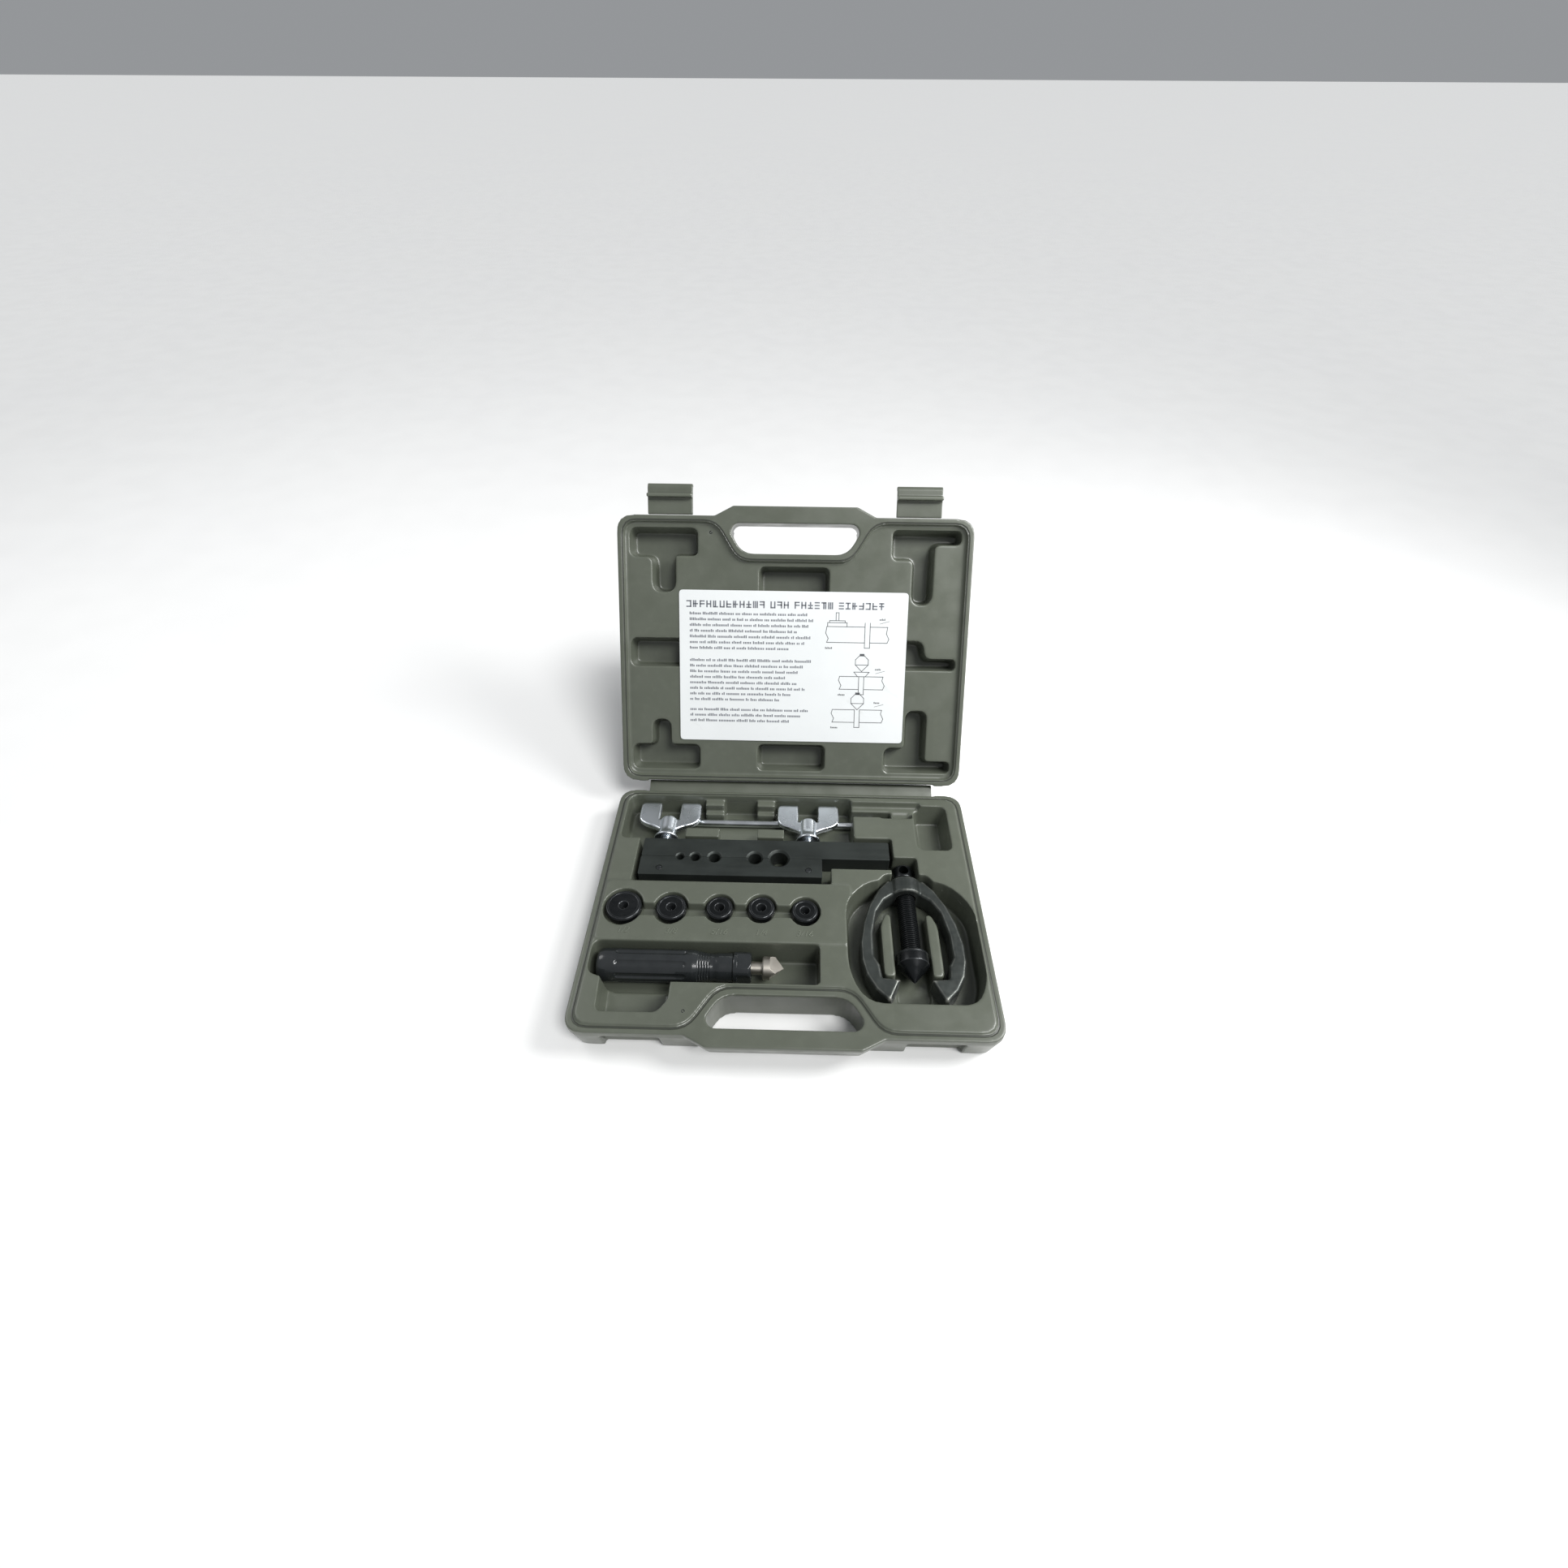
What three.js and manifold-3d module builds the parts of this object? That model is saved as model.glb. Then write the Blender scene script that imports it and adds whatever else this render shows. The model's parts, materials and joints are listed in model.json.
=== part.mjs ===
// A double flaring tool kit in its open moulded case: flaring bars with wing nuts, yoke with
// feed screw and swivel cone, T-handle, five adapters and a reamer. Millimetres, +Z up, +Y towards
// the lid hinge. The origin is the middle of the case base's underside.
import * as THREE from 'three';
import { mergeVertices } from 'three/addons/utils/BufferGeometryUtils.js';
import Module from 'manifold-3d';

const wasm = await Module();
wasm.setup();

// ---- driving dimensions -------------------------------------------------------------------

const CASE_W = 270;
const CASE_D = 204;
const RIM = 25; // height of the base's rim, and depth of the lid
const CORNER_R = 13;
const DRAFT = 4; // how far the outer walls lean in over their height
const BAND = 5; // upright lip below the rim, which the latches hook under
const TRAY = RIM + 1.5; // top of the base's inner tray
const PANEL = RIM + 2.3; // top of the raised adapter panel
const LID_RECESS = 3; // the lid's inner face lies this far below its rim
const TRAY_MARGIN = 0.7; // the base's tray is drawn in by this to fit inside that recess
const FRONT_INNER = 199.5; // front edge of the tray, measured from the hinge side
const SIDE_INNER = 130;
const HINGE_INNER = 5;
const GRIP_FRONT = 211.3; // the handle's outer edge, measured from the hinge side
const GRIP_DEEP = 17; // the handle's thickness in each half
const HINGE_ARM = 6.7; // from each rim down to its fold line
const CLOSED_GAP = 0.3;
const STRIP_LEN = 2 * HINGE_ARM + CLOSED_GAP;
const STRIP_W = 228;
const STRIP_T = 1.2;
const FOLD = THREE.MathUtils.degToRad(62.15); // each fold line's angle with the lid open
const LATCH_X = [-94.5, 93];
const LATCH_W = 34;

const GAP = 0.3; // between pieces that touch
const RUNNING = 0.4; // between pieces that slide or turn in each other

const BAR = { left: -108.5, height: 15, depth: 16.8, top: 25.5, split: 34.2 };
const LONG_BAR = 182.8;
const SHORT_BAR = 133;
const TUBES = [ // where each tube size is clamped along the bars: position, tube diameter
  [-79.8, 4.76],
  [-68.8, 6.35],
  [-54.6, 7.94],
  [-24.7, 9.53],
  [-7, 12.7],
];
const STUD = { r: 4, front: 19.5, end: 73, xs: [-94, 14.5] };
const PIN = { r: 2, y: 23.6 };
const NUT = { ring: 55.4, ringR: 9.3, hubR: 6.3, len: 21, wing: 37.6, span: 24.2, thick: 5 };
const ROD = { r: 2.9, left: -84, right: 54, y: 80.6, z: 10.2, swage: 12, swageR: 3.3 };

const YOKE = { x: 84.3, z: 14.8, low: 6, high: 22, hubR: 12.1, hubFront: 7, hubBack: 20 };
const SCREW = { r: 6.6, headR: 7.3, head: 23, end: 34, tip: -37.4, hole: 3.5, holeY: 28.6 };
const CONE = { r: 11, back: -38, shoulder: -46.5, tip: -58.7, bore: 4.4, depth: 6.4 };
const RETAINER = { inner: 3.5, outer: 5.2, y: -41, half: 0.5 };

const ADAPTERS = [ // name, x, y, disc radius, stem radius
  ['adapter_1_2', -113.3, -10.6, 12.4, 5.1],
  ['adapter_3_8', -80.2, -11, 10.5, 3.6],
  ['adapter_5_16', -46.8, -10.6, 9.3, 2.9],
  ['adapter_1_4', -17.9, -10.2, 9.3, 2.1],
  ['adapter_3_16', 12.2, -11.7, 9.2, 1.6],
];
const ADAPTER = { top: 26.7, disc: 6.5, stem: 9 };

const REAMER = { y: -50.4, z: 15, r: 11, butt: -124, handleEnd: -35, ferrule: -34.7, tip: -1.4 };

// ---- colours ------------------------------------------------------------------------------

const finish = (color, roughness, metalness) => () =>
  new THREE.MeshStandardMaterial({ color, roughness, metalness });
const olive = finish(0x7c8070, 0.55, 0);
const card = finish(0xe9eaea, 0.6, 0);
const blackOxide = finish(0x2b302f, 0.45, 0.8);
const forged = finish(0x33383a, 0.5, 0.8);
const zinc = finish(0xc9d0d2, 0.3, 1);
const steel = finish(0xa9a79f, 0.35, 1);
const blackPlastic = finish(0x1f2426, 0.35, 0);

// ---- solids -------------------------------------------------------------------------------

function solid(geometry) {
  geometry.deleteAttribute('normal');
  geometry.deleteAttribute('uv');
  const merged = mergeVertices(geometry, 1e-4);
  return new wasm.Manifold(new wasm.Mesh({
    numProp: 3,
    vertProperties: new Float32Array(merged.attributes.position.array),
    triVerts: new Uint32Array(merged.index.array),
  }));
}

function geometryOf(manifold) {
  const mesh = manifold.getMesh();
  const geometry = new THREE.BufferGeometry();
  geometry.setAttribute('position', new THREE.BufferAttribute(mesh.vertProperties, 3));
  geometry.setIndex(new THREE.BufferAttribute(mesh.triVerts, 1));
  geometry.computeVertexNormals();
  return geometry;
}

const join = (...solids) => solids.reduce((whole, s) => whole.add(s));
const cut = (whole, ...tools) => tools.reduce((left, tool) => left.subtract(tool), whole);

// A closed outline from corners [x, y, radius]; a radius of 0 or none leaves a sharp corner.
function outline(corners) {
  const shape = new THREE.Shape();
  corners.forEach(([x, y, radius = 0], i) => {
    const corner = new THREE.Vector2(x, y);
    const before = new THREE.Vector2(...corners.at(i - 1).slice(0, 2));
    const after = new THREE.Vector2(...corners[(i + 1) % corners.length].slice(0, 2));
    const start = corner.clone().add(before.sub(corner).setLength(radius));
    const end = corner.clone().add(after.sub(corner).setLength(radius));
    if (i === 0) {
      shape.moveTo(start.x, start.y);
    } else {
      shape.lineTo(start.x, start.y);
    }
    if (radius > 0) shape.quadraticCurveTo(x, y, end.x, end.y);
  });
  return shape;
}

const rectangle = (x0, x1, y0, y1, radius = 0) =>
  outline([[x0, y0, radius], [x1, y0, radius], [x1, y1, radius], [x0, y1, radius]]);

function prism(shape, bottom, top, curveSegments = 4) {
  const options = { depth: top - bottom, bevelEnabled: false, curveSegments };
  return solid(new THREE.ExtrudeGeometry(shape, options).translate(0, 0, bottom));
}

// Upright from top down to mid, then narrowing by inset on every side down to bottom.
function tapered(shape, top, mid, bottom, inset, curveSegments = 4) {
  const both = new THREE.ExtrudeGeometry(shape, {
    depth: top - mid,
    bevelThickness: mid - bottom,
    bevelSize: inset,
    bevelOffset: -inset,
    bevelSegments: 1,
    curveSegments,
  }).translate(0, 0, mid);
  const above = solid(new THREE.BoxGeometry(600, 600, 200).translate(0, 0, top + 100));
  return solid(both).subtract(above);
}

const box = (x0, x1, y0, y1, z0, z1) => solid(
  new THREE.BoxGeometry(x1 - x0, y1 - y0, z1 - z0)
    .translate((x0 + x1) / 2, (y0 + y1) / 2, (z0 + z1) / 2));

// A solid of revolution about Z from points [radius, height].
const turned = (profile, sides = 24) => solid(
  new THREE.LatheGeometry(profile.map(([r, h]) => new THREE.Vector2(r, h)), sides)
    .rotateX(Math.PI / 2));

// The same about an axis along Y or X; height becomes y or x.
const turnedY = (profile, sides) => turned(profile, sides).rotate([-90, 0, 0]);
const turnedX = (profile, sides) => turned(profile, sides).rotate([0, 90, 0]);
const rod = (r, low, high) => [[0, low], [r, low], [r, high], [0, high]];

function piece(name, manifold, material) {
  const mesh = new THREE.Mesh(geometryOf(manifold), material());
  mesh.name = name;
  return mesh;
}

// ---- case ---------------------------------------------------------------------------------

// Plan outlines of a case half, as [x, distance from the hinge side, corner radius].
const CASE_PLAN = [
  [-CASE_W / 2, 0, CORNER_R],
  [CASE_W / 2, 0, CORNER_R],
  [CASE_W / 2, CASE_D, CORNER_R],
  [-CASE_W / 2, CASE_D, CORNER_R],
];
const innerPlan = (margin) => {
  const [side, back, front] = [SIDE_INNER - margin, HINGE_INNER + margin, FRONT_INNER - margin];
  const [wide, narrow, bay] = [60 + margin / 2, 43 + margin / 2, 171.5 - margin];
  return [
    [-side, back, 10], [side, back, 10], [side, front, 10], [wide, front, 9],
    [narrow, bay, 10], [-narrow, bay, 10], [-wide, front, 9], [-side, front, 10],
  ];
};
const TRAY_PLAN = innerPlan(TRAY_MARGIN);
const RECESS_PLAN = innerPlan(0);
const GRIP_PLAN = [[-62, 190], [-62, CASE_D - 0.5], [-47, GRIP_FRONT],
  [47, GRIP_FRONT], [62, CASE_D - 0.5], [62, 190]];
const HOLE_PLAN = [[-46, 199, 4], [46, 199, 4], [49, 192.5, 3], [40, 177, 9],
  [-40, 177, 9], [-49, 192.5, 3]];

// The lid is drawn in these coordinates; the base is their mirror image in plan.
const inLid = (corners) => outline(corners);
const inBase = (corners) => outline(corners.map(([x, v, r]) => [x, CASE_D / 2 - v, r]));

// One case half with its grip, its rim at the given height and its outside below.
function shell(plan, rim, latchSide) {
  const floor = rim - RIM;
  const body = tapered(plan(CASE_PLAN), rim, rim - BAND, floor, DRAFT);
  const grip = tapered(plan(GRIP_PLAN), rim, rim - 3, rim - GRIP_DEEP, 4.5);
  const latchBays = LATCH_X.map((x) => prism(
    plan([[x - 17.6, CASE_D - 7], [x + 17.6, CASE_D - 7], [x + 19.4, CASE_D + 20],
      [x - 19.4, CASE_D + 20]]),
    floor - 1, latchSide));
  const underGrip = prism(
    plan([[-53, CASE_D - 8.5], [53, CASE_D - 8.5], [53, CASE_D + 20], [-53, CASE_D + 20]]),
    floor - 1, rim - GRIP_DEEP);
  const hinge = prism(
    plan([[-STRIP_W / 2 - 1, -9], [STRIP_W / 2 + 1, -9], [STRIP_W / 2 + 1, 0.9],
      [-STRIP_W / 2 - 1, 0.9]]), floor - 1, rim + 1);
  const hole = prism(plan(HOLE_PLAN), floor - 1, rim + 5);
  return cut(join(body, grip), ...latchBays, underGrip, hinge, hole);
}

// A drafted pocket cut down from the tray or the panel.
const pocket = (shape, floor, inset = 1, curveSegments = 4) =>
  tapered(shape, PANEL + 2, TRAY + 1, floor, inset, curveSegments);

function barPocket() {
  return pocket(outline([[-112, 11, 2], [31, 11, 2], [31, 25], [77, 25], [77, 54.5, 2],
    [-112, 54.5]]), BAR.top - BAR.height - GAP, 0.6);
}

function nutPocket() {
  const floor = ROD.z - ROD.swageR - GAP;
  const well = pocket(outline([[-127, 50.5, 6], [49, 50.5], [49, 95.5, 6], [-127, 95.5, 9]]), floor, 1.2);
  const rests = [[-79, -53], [-24, -4]].map(([x0, x1]) => box(x0, x1, 50, 63, floor - 1, 24.8));
  const ledges = [[-67, -52], [-26, -12]].flatMap(([x0, x1]) => [
    box(x0, x1, 85, 99, floor - 1, 15.5),
    box(x0, x1, 89, 99, floor - 1, 22),
  ]);
  return cut(well, ...rests, ...ledges);
}

function rodGroove() {
  return join(
    pocket(rectangle(44, 79.5, 76.2, 86, 1.5), ROD.z - ROD.swageR - GAP, 0.6),
    pocket(rectangle(70, 95, 75, 86, 1.5), 20, 1),
    pocket(rectangle(44, 103, 80, 92.5, 3), 21.5, 2.2),
  );
}

function adapterPockets() {
  const seats = ADAPTERS.flatMap(([, x, y, r]) => [
    pocket(new THREE.Shape().absellipse(x, y - 1.2, r + 1.6, r + 2.6, 0, 2 * Math.PI),
      ADAPTER.top - ADAPTER.disc - GAP, 0.8, 12),
    pocket(new THREE.Shape().absarc(x, y, 7.4, 0, 2 * Math.PI),
      ADAPTER.top - ADAPTER.disc - ADAPTER.stem - 1, 0.8, 8),
  ]);
  return join(...seats, pocket(rectangle(-113, 12, -18.5, -8.5), 20, 1.2));
}

function reamerPocket() {
  return join(
    pocket(outline([[-128, -38.6, 6], [22, -38.6, 3], [22, -67.5, 3], [-110, -67.5], [-128, -62, 6]]),
      REAMER.z - REAMER.r - GAP, 0.5),
    pocket(outline([[-119, -60], [-73, -60], [-73, -80, 3], [-79, -88.5, 3], [-117, -88.5, 4]]),
      9, 2.5),
  );
}

function yokePocket() {
  const floor = YOKE.low - GAP;
  const bowl = pocket(outline([[40.5, -2, 12], [58, 16, 12], [112, 16, 14], [129, -6, 12],
    [129, -60, 9], [121, -79, 10], [50, -79, 13], [40.5, -56, 10]]), floor, 1.8);
  const islands = [-1, 1].map((side) => tapered(
    outline([[12.3, -55, 2], [19.7, -55, 3], [19.7, -16, 3], [16, -7, 2], [12.3, -7, 2]]
      .map(([dx, y, r]) => [YOKE.x + side * dx, y, r])), 17.5, 17, floor - 1, -1));
  const hubBay = pocket(outline([[-24, 0], [24, 0], [24, 9, 3], [15, 21, 3], [-15, 21, 3], [-24, 9, 3]]
    .map(([dx, y, r]) => [YOKE.x + dx, y, r])), floor, 0.3);
  const headBay = pocket(rectangle(YOKE.x - 9.5, YOKE.x + 9.5, 10, 36.5, 2), 6.5, 0.6);
  const coneBay = tapered(rectangle(YOKE.x - 12, YOKE.x + 12, -70, -36, 5), 18, 12, 3, 1);
  return join(cut(bowl, ...islands), hubBay, headBay, coneBay);
}

function caseBase() {
  const tray = tapered(inBase(TRAY_PLAN), TRAY, TRAY - 0.5, RIM - 4, -0.8);
  const panel = tapered(rectangle(-128, 44, -38, 10.3, 3), PANEL, PANEL - 0.3, TRAY - 2, -0.6);
  const spare = pocket(rectangle(95.5, 122, 44, 89, 6), 9, 4.5);
  const vent = turned(rod(1, 12, 40), 12).translate([-62.5, -87.5, 0]);
  return cut(join(shell(inBase, RIM, RIM - BAND - 0.5), tray, panel),
    barPocket(), nutPocket(), rodGroove(), adapterPockets(), reamerPocket(), yokePocket(),
    spare, vent, prism(inBase(HOLE_PLAN), -1, TRAY + 5));
}

// The lid lies rim up here: x, distance from the hinge side, height above the rim.
function caseLid() {
  const recess = tapered(inLid(RECESS_PLAN), 1, -0.5, -LID_RECESS, 0.8);
  const well = (corners, deep = 17) =>
    tapered(inLid(corners), 1, -LID_RECESS - 0.5, -deep, 2.2);
  const wells = [
    well([[-126, 174, 6], [-109, 174, 5], [-109, 148, 8], [-91, 148, 8], [-91, 175, 2],
      [-74, 175, 4], [-74, 195.5, 5], [-126, 195.5, 6]]),
    well([[74, 174, 5], [90, 174, 4], [90, 141, 8], [106, 141, 8], [106, 185.5, 5],
      [126, 185.5, 4], [126, 196, 4], [74, 196, 4]]),
    well([[-127, 10, 6], [-73, 10, 5], [-73, 30, 5], [-96, 30, 3], [-96, 50, 7],
      [-111, 50, 7], [-111, 30, 3], [-127, 30, 6]]),
    well([[74, 10, 5], [127, 10, 4], [127, 19.5, 4], [107, 19.5, 3], [107, 60, 7],
      [90, 60, 7], [90, 30, 3], [74, 30, 6]]),
    well([[-27, 142, 4], [27, 142, 4], [27, 168, 5], [-27, 168, 5]]),
    well([[-27, 10, 5], [27, 10, 5], [27, 31, 5], [-27, 31, 5]]),
    well([[-127, 91.5, 6], [-80, 91.5, 4], [-80, 113.5, 4], [-127, 113.5, 6]]),
    well([[80, 91.5, 4], [127, 91.5, 4], [127, 100.5, 4], [103, 100.5, 5], [101, 114, 6],
      [80, 114, 4]]),
  ];
  const vent = turned(rod(1, -12, 10), 12).translate([-64, 192.3, 0]);
  const back = tapered(rectangle(-112, 112, 26, 150, 10), -RIM + 0.9, -RIM, -RIM - 5, -1);
  return cut(shell(inLid, 0, -9), recess, ...wells, vent, back);
}

// The thin web between the halves, with its two fold lines along its long edges.
function hingeStrip() {
  const section = outline([[-STRIP_T / 2, 0.5], [STRIP_T / 2, 0.5], [STRIP_T / 2, STRIP_LEN - 0.5],
    [-STRIP_T / 2, STRIP_LEN - 0.5]]);
  return prism(section, -STRIP_W / 2, STRIP_W / 2).rotate([90, 0, 90]);
}

// A latch pointing away from its fold line along Y, its hook rib upward.
function latch() {
  const section = outline([[-1.6, -1.4], [-1.6, 1.4], [10.2, 1.4], [10.2, 6.2, 0.6], [12.6, 6.2, 0.6],
    [13.4, 1.4], [18.2, 1.4], [20.6, 0.2, 0.8], [20.6, -3.8, 0.8], [18.6, -3.8, 0.8], [17, -1.4]]);
  return prism(section, -LATCH_W / 2, LATCH_W / 2).rotate([90, 0, 90]);
}

function buildCase() {
  const kit = new THREE.Group();
  kit.add(piece('case_base', caseBase(), olive));
  const firstFold = new THREE.Group();
  firstFold.position.set(0, CASE_D / 2, RIM - HINGE_ARM);
  firstFold.rotation.x = -FOLD;
  firstFold.add(piece('hinge_strip', hingeStrip(), olive));
  const secondFold = new THREE.Group();
  secondFold.position.z = STRIP_LEN;
  secondFold.rotation.x = Math.PI - FOLD;
  const lid = new THREE.Group();
  lid.position.z = HINGE_ARM;
  lid.add(piece('case_lid', caseLid(), olive));
  const label = prism(rectangle(-88.5, 88, 34, 150, 3), -LID_RECESS + GAP, -LID_RECESS + 2 * GAP);
  lid.add(piece('instruction_label', label, card));
  LATCH_X.forEach((x, i) => {
    const mesh = piece(['latch_left', 'latch_right'][i], latch(), olive);
    mesh.position.set(x, CASE_D + 2.5, -4);
    lid.add(mesh);
  });
  secondFold.add(lid);
  firstFold.add(secondFold);
  kit.add(firstFold);
  return kit;
}

// ---- flaring bars -------------------------------------------------------------------------

// Clamping holes with 45 degree seats, cut down through both bars on their split line.
function tubeHoles() {
  const low = BAR.top - BAR.height - 1;
  return TUBES.map(([x, diameter]) => {
    const r = diameter / 2;
    const seat = r + 0.8 + r * 0.16;
    const top = BAR.top + 1;
    const profile = [[0, low], [r, low], [r, BAR.top - (seat - r)], [seat, BAR.top], [seat, top],
      [0, top]];
    return turned(profile, 24).translate([x, BAR.split, 0]);
  });
}

function bar(length, front) {
  const bottom = BAR.top - BAR.height;
  const plan = rectangle(BAR.left, BAR.left + length, front, front + BAR.depth, 1);
  return cut(prism(plan, bottom, BAR.top, 2), ...tubeHoles());
}

function studHoles(from) {
  const z = BAR.top - BAR.height / 2;
  return STUD.xs.map((x) => turnedY(rod(STUD.r + RUNNING, from, 60), 20).translate([x, 0, z]));
}

function pinHoles(r) {
  return STUD.xs.map((x) => turned(rod(r, 0, 40), 16).translate([x, PIN.y, 0]));
}

function wingNut() {
  const { ringR, hubR, len, wing, span, thick } = NUT;
  const body = turnedY([[0, 0], [ringR, 0], [ringR, 1.8], [ringR - 1.4, 3], [hubR + 0.3, 6.5],
    [hubR, 9], [hubR, len - 1], [hubR - 1, len], [0, len]], 28);
  const half = new THREE.Shape();
  half.moveTo(0, 8);
  half.lineTo(5, 8);
  half.quadraticCurveTo(9, 11.5, 15, 13.5);
  half.quadraticCurveTo(span, 16, span, 23);
  half.lineTo(span, wing - 4);
  half.quadraticCurveTo(span, wing, span - 4, wing);
  half.lineTo(9.5, wing);
  half.quadraticCurveTo(7.4, wing, 7.4, wing - 2.5);
  half.lineTo(7.4, len - 1);
  half.lineTo(0, len - 1);
  const options = { depth: thick - 2, bevelThickness: 1, bevelSize: 1, bevelOffset: -1,
    bevelSegments: 1, curveSegments: 4 };
  const geometry = new THREE.ExtrudeGeometry(half, options).translate(0, 0, 1 - thick / 2);
  const right = solid(geometry);
  const bore = turnedY(rod(STUD.r + RUNNING, -1, wing), 20);
  return cut(join(body, right, right.mirror([1, 0, 0])), bore);
}

function buildBars() {
  const kit = new THREE.Group();
  const axis = BAR.top - BAR.height / 2;
  const split = GAP / 2;
  const bore = studHoles(STUD.front - 1);
  const long = cut(bar(LONG_BAR, BAR.split + split), ...bore);
  const short = cut(bar(SHORT_BAR, BAR.split - split - BAR.depth), ...bore,
    ...pinHoles(PIN.r + GAP));
  kit.add(piece('long_bar', long, blackOxide));
  kit.add(piece('short_bar', short, blackOxide));
  STUD.xs.forEach((x, i) => {
    const side = ['left', 'right'][i];
    const stud = cut(turnedY(rod(STUD.r, STUD.front, STUD.end), 20),
      turned(rod(PIN.r + GAP, -20, 20), 16).translate([0, PIN.y, 0]));
    const studMesh = piece(`stud_${side}`, stud, zinc);
    studMesh.position.set(x, 0, axis);
    const pinMesh = piece(`cross_pin_${side}`, turned(rod(PIN.r, 0, BAR.height), 16), blackOxide);
    pinMesh.position.set(x, PIN.y, BAR.top - BAR.height);
    const nutMesh = piece(`wing_nut_${side}`, wingNut(), zinc);
    nutMesh.position.set(x, NUT.ring, axis);
    kit.add(studMesh, pinMesh, nutMesh);
  });
  return kit;
}

// The sliding T-handle, with one swaged end, stored in the groove behind the nuts.
function tHandle() {
  const { r, left, right, swage, swageR } = ROD;
  const round = turnedX([[0, left], [r - 0.6, left], [r, left + 0.6], [r, right], [swageR, right + 1.5],
    [swageR, right + swage - 1], [swageR - 1, right + swage], [0, right + swage]], 16);
  const flat = box(right + 3, right + swage - 2, -1.2, 1.2, 1.6, 9);
  return cut(round, flat);
}

// ---- yoke ---------------------------------------------------------------------------------

function yokeFrame() {
  const outer = [[13, 19], [20, 11], [27, -2], [32, -17], [34.8, -33], [34.6, -46], [32, -57],
    [26.5, -67], [19, -74.3]];
  const inner = [[17, -74.3], [10, -59.5], [21.5, -58.5], [22.6, -49], [26, -42.5], [25.6, -25],
    [22, -8], [16, 2], [8, 7.6]];
  const right = [...outer, ...inner];
  const left = right.map(([x, y]) => [-x, y]).reverse();
  const arms = new THREE.ExtrudeGeometry(outline([...right, ...left]), {
    depth: YOKE.high - YOKE.low - 3,
    bevelThickness: 1.5,
    bevelSize: 1.2,
    bevelOffset: -1.2,
    bevelSegments: 1,
    curveSegments: 1,
  }).translate(0, 0, YOKE.low + 1.5 - YOKE.z);
  const hub = turnedY([[0, YOKE.hubFront], [YOKE.hubR - 1, YOKE.hubFront], [YOKE.hubR, YOKE.hubFront + 1],
    [YOKE.hubR, YOKE.hubBack - 1], [YOKE.hubR - 1, YOKE.hubBack], [0, YOKE.hubBack]], 28);
  const under = box(-20, 20, -10, 30, -20, YOKE.low - YOKE.z);
  const bore = turnedY(rod(SCREW.r + RUNNING, -20, 40), 28);
  return cut(join(solid(arms), hub), under, bore);
}

function feedScrew() {
  const spigot = CONE.bore - RUNNING;
  const { inner, y, half } = RETAINER;
  const groove = inner - GAP;
  const body = turnedY([
    [0, CONE.back - CONE.depth + 1],
    [spigot, CONE.back - CONE.depth + 1],
    [spigot, y - half - GAP],
    [groove, y - half - GAP],
    [groove, y + half + GAP],
    [spigot, y + half + GAP],
    [spigot, SCREW.tip],
    [SCREW.r, SCREW.tip],
    [SCREW.r, SCREW.head],
    [SCREW.headR, SCREW.head + 0.6],
    [SCREW.headR, SCREW.end - 1],
    [SCREW.headR - 1, SCREW.end],
    [0, SCREW.end],
  ], 24);
  return cut(body, turned(rod(SCREW.hole, -20, 20), 16).translate([0, SCREW.holeY, 0]));
}

function swivelCone() {
  const { y, half, outer } = RETAINER;
  const floor = CONE.back - CONE.depth;
  return turnedY([
    [0, CONE.tip],
    [CONE.r, CONE.shoulder],
    [CONE.r, CONE.back - 1],
    [CONE.r - 1, CONE.back],
    [CONE.bore, CONE.back],
    [CONE.bore, y + half + GAP],
    [outer + GAP, y + half + GAP],
    [outer + GAP, y - half - GAP],
    [CONE.bore, y - half - GAP],
    [CONE.bore, floor],
    [0, floor],
  ], 28);
}

function retainer() {
  const { inner, outer, y, half } = RETAINER;
  return turnedY([[inner, y - half], [outer, y - half], [outer, y + half], [inner, y + half],
    [inner, y - half]], 20);
}

function buildYoke() {
  const kit = new THREE.Group();
  kit.position.set(YOKE.x, 0, YOKE.z);
  kit.add(
    piece('yoke_frame', yokeFrame(), forged),
    piece('feed_screw', feedScrew(), blackOxide),
    piece('swivel_cone', swivelCone(), blackOxide),
    piece('swivel_retainer', retainer(), steel),
  );
  return kit;
}

// ---- adapters -----------------------------------------------------------------------------

function adapter(discR, stemR) {
  const { disc, stem } = ADAPTER;
  return turned([
    [0, -disc - stem],
    [stemR - 0.5, -disc - stem],
    [stemR, -disc - stem + 0.8],
    [stemR, -disc - 1.5],
    [stemR + 1.2, -disc],
    [discR - 1, -disc],
    [discR, -disc + 1],
    [discR, -0.8],
    [discR - 0.8, 0],
    [2.8, 0],
    [0, -2.6],
  ], 28);
}

function buildAdapters() {
  return ADAPTERS.map(([name, x, y, discR, stemR]) => {
    const mesh = piece(name, adapter(discR, stemR), blackOxide);
    mesh.position.set(x, y, ADAPTER.top);
    return mesh;
  });
}

// ---- reamer -------------------------------------------------------------------------------

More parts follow.
